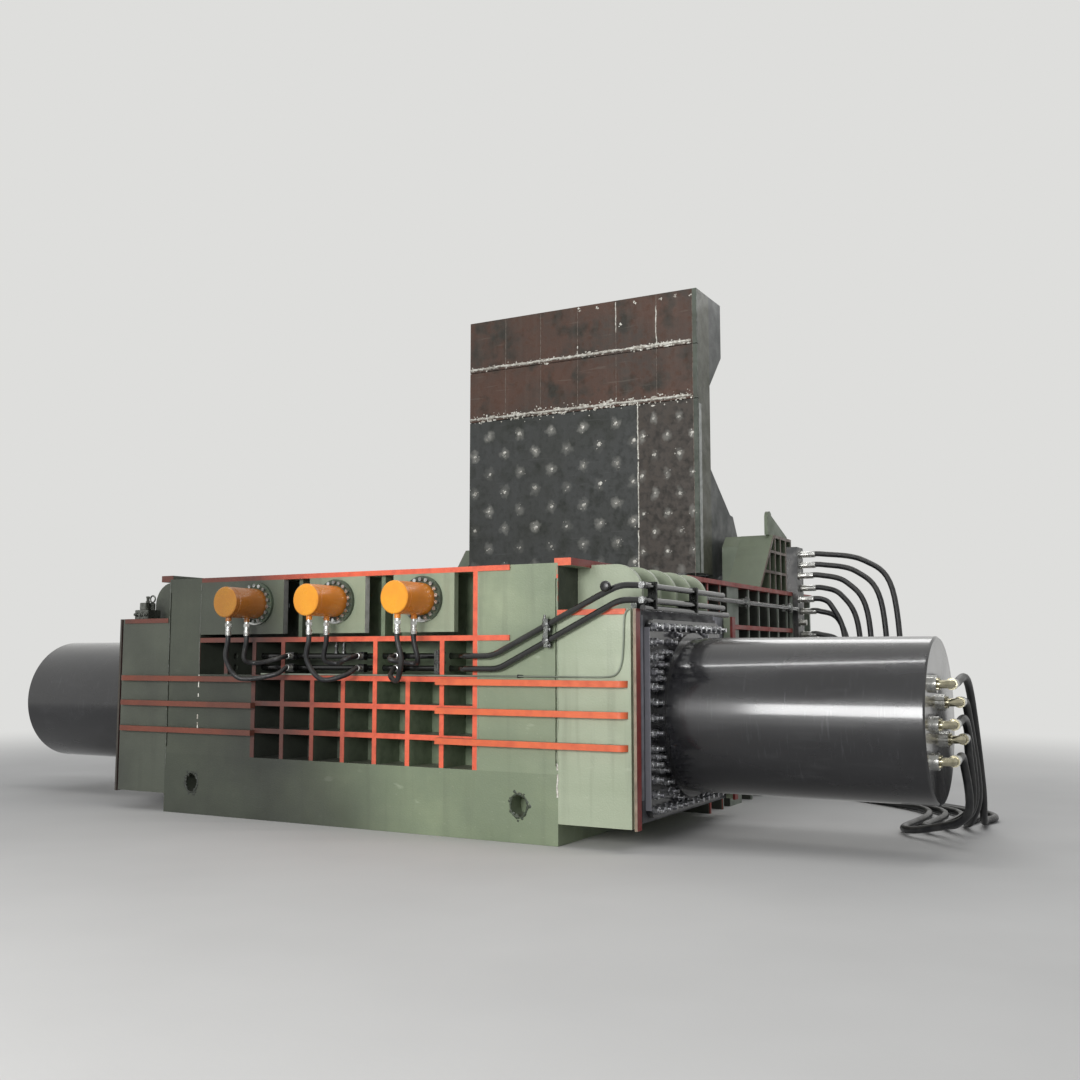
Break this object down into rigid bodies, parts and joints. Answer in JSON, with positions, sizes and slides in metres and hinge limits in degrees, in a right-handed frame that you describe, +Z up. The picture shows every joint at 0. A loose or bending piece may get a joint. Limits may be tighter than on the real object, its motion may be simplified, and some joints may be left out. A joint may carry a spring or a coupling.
{
  "type": "recycling baler",
  "caption": "Scrap metal baler: ribbed press channel between two opposed main cylinders, feed box with a side ram, hinged lid standing open, lock cylinders along the front.",
  "frame": {"origin": "on the ground under the middle of the press channel", "axes": "+X along the press channel towards the right main cylinder, +Y from the lock cylinders on the front to the side cylinders at the back, +Z up"},
  "size_m": [9.5993, 9.59, 5.64],
  "materials": {
    "body_paint": "satin, dusty",
    "light_paint": "satin",
    "edge_paint": "satin",
    "plate_steel": "matte",
    "orange_paint": "gloss",
    "black_paint": "gloss",
    "dark_screws": "oily",
    "ground_steel": "ground",
    "worn_steel": "worn",
    "lid_paint": "matte",
    "rusty_plate": "rolled skin, rusty",
    "elbow_brass": "dull plating",
    "block_steel": "satin",
    "hose_rubber": "satin"
  },
  "bodies": {
    "frame": {"bed": "body_paint", "front_wall": "body_paint", "front_bands": "edge_paint", "top_beam": "body_paint", "lock_panels": "light_paint", "lock_cylinder_left": "orange_paint", "lock_cylinder_middle": "orange_paint", "lock_cylinder_right": "orange_paint", "lock_screws": "dark_screws", "right_end_block": "light_paint", "left_end_block": "light_paint", "right_end_plate": "plate_steel", "left_end_plate": "plate_steel", "right_barrel": "black_paint", "left_barrel": "black_paint", "barrel_studs": "dark_screws", "right_cap_elbows": "elbow_brass", "left_cap_elbows": "elbow_brass", "right_side_wall": "body_paint", "left_side_wall": "body_paint", "right_pedestal": "body_paint", "left_pedestal": "body_paint", "hinge_pins": "ground_steel", "rear_frame": "body_paint", "lid_foot_pins": "ground_steel", "side_barrels": "black_paint", "front_pipes": "black_paint", "side_pipes": "black_paint", "pipe_clamps": "black_paint", "hose_manifold": "block_steel", "lock_hose_1": "hose_rubber", "lock_hose_2": "hose_rubber", "lock_hose_3": "hose_rubber", "lock_hose_4": "hose_rubber", "lock_hose_5": "hose_rubber", "lock_hose_6": "hose_rubber", "main_hose_1": "hose_rubber", "main_hose_2": "hose_rubber", "main_hose_3": "hose_rubber", "main_hose_4": "hose_rubber", "main_hose_5": "hose_rubber", "side_hose_1": "hose_rubber", "side_hose_2": "hose_rubber"},
    "lid": {"lid": "lid_paint", "lid_liner_nose": "rusty_plate", "lid_liner_band": "rusty_plate", "lid_liner_field": "lid_paint"},
    "right_lid_cylinder": {"right_lid_barrel": "black_paint"},
    "right_lid_cylinder_rod": {"right_lid_rod": "ground_steel"},
    "left_lid_cylinder": {"left_lid_barrel": "black_paint"},
    "left_lid_cylinder_rod": {"left_lid_rod": "ground_steel"},
    "right_main_ram": {"right_press_head": "worn_steel", "right_ram_rod": "ground_steel"},
    "left_main_ram": {"left_press_head": "worn_steel", "left_ram_rod": "ground_steel"},
    "side_pusher": {"side_ram": "worn_steel", "side_rods": "ground_steel"},
    "left_bolt": {"lock_bolt_left": "ground_steel"},
    "middle_bolt": {"lock_bolt_middle": "ground_steel"},
    "right_bolt": {"lock_bolt_right": "ground_steel"}
  },
  "joints": [
    {"name": "lid_hinge", "type": "hinge", "parent": "frame", "child": "lid", "pos_m": [0, 4.03, 2.28], "axis": [1, 0, 0], "range_deg": [0, 90]},
    {"name": "right_lid_cylinder_swing", "type": "hinge", "parent": "frame", "child": "right_lid_cylinder", "pos_m": [1.355, 6, 1.55], "axis": [1, 0, 0], "range_deg": [0, 10.3]},
    {"name": "right_lid_rod_slide", "type": "slide", "parent": "right_lid_cylinder", "child": "right_lid_cylinder_rod", "axis": [0, -0.777, 0.6295], "range_m": [0, 0.91]},
    {"name": "left_lid_cylinder_swing", "type": "hinge", "parent": "frame", "child": "left_lid_cylinder", "pos_m": [-1.355, 6, 1.55], "axis": [1, 0, 0], "range_deg": [0, 10.3]},
    {"name": "left_lid_rod_slide", "type": "slide", "parent": "left_lid_cylinder", "child": "left_lid_cylinder_rod", "axis": [0, -0.777, 0.6295], "range_m": [0, 0.91]},
    {"name": "right_main_ram_slide", "type": "slide", "parent": "frame", "child": "right_main_ram", "axis": [-1, 0, 0], "range_m": [0, 1.06]},
    {"name": "left_main_ram_slide", "type": "slide", "parent": "frame", "child": "left_main_ram", "axis": [1, 0, 0], "range_m": [0, 1.06]},
    {"name": "side_pusher_slide", "type": "slide", "parent": "frame", "child": "side_pusher", "axis": [0, -1, 0], "range_m": [0, 2.74]},
    {"name": "middle_bolt_slide", "type": "slide", "parent": "frame", "child": "middle_bolt", "axis": [0, 1, 0], "range_m": [0, 0.25]},
    {"name": "left_bolt_slide", "type": "slide", "parent": "frame", "child": "left_bolt", "axis": [0, 1, 0], "range_m": [0, 0.25]},
    {"name": "right_bolt_slide", "type": "slide", "parent": "frame", "child": "right_bolt", "axis": [0, 1, 0], "range_m": [0, 0.25]}
  ],
  "couplings": [
    {"joint": "right_lid_cylinder_swing", "follows": "lid_hinge", "ratio": 0.11356},
    {"joint": "right_lid_rod_slide", "follows": "lid_hinge", "m_per_rad": 0.57846},
    {"joint": "left_lid_cylinder_swing", "follows": "lid_hinge", "ratio": 0.11356},
    {"joint": "left_lid_rod_slide", "follows": "lid_hinge", "m_per_rad": 0.57846},
    {"joint": "left_bolt_slide", "follows": "middle_bolt_slide", "ratio": 1},
    {"joint": "right_bolt_slide", "follows": "middle_bolt_slide", "ratio": 1}
  ]
}
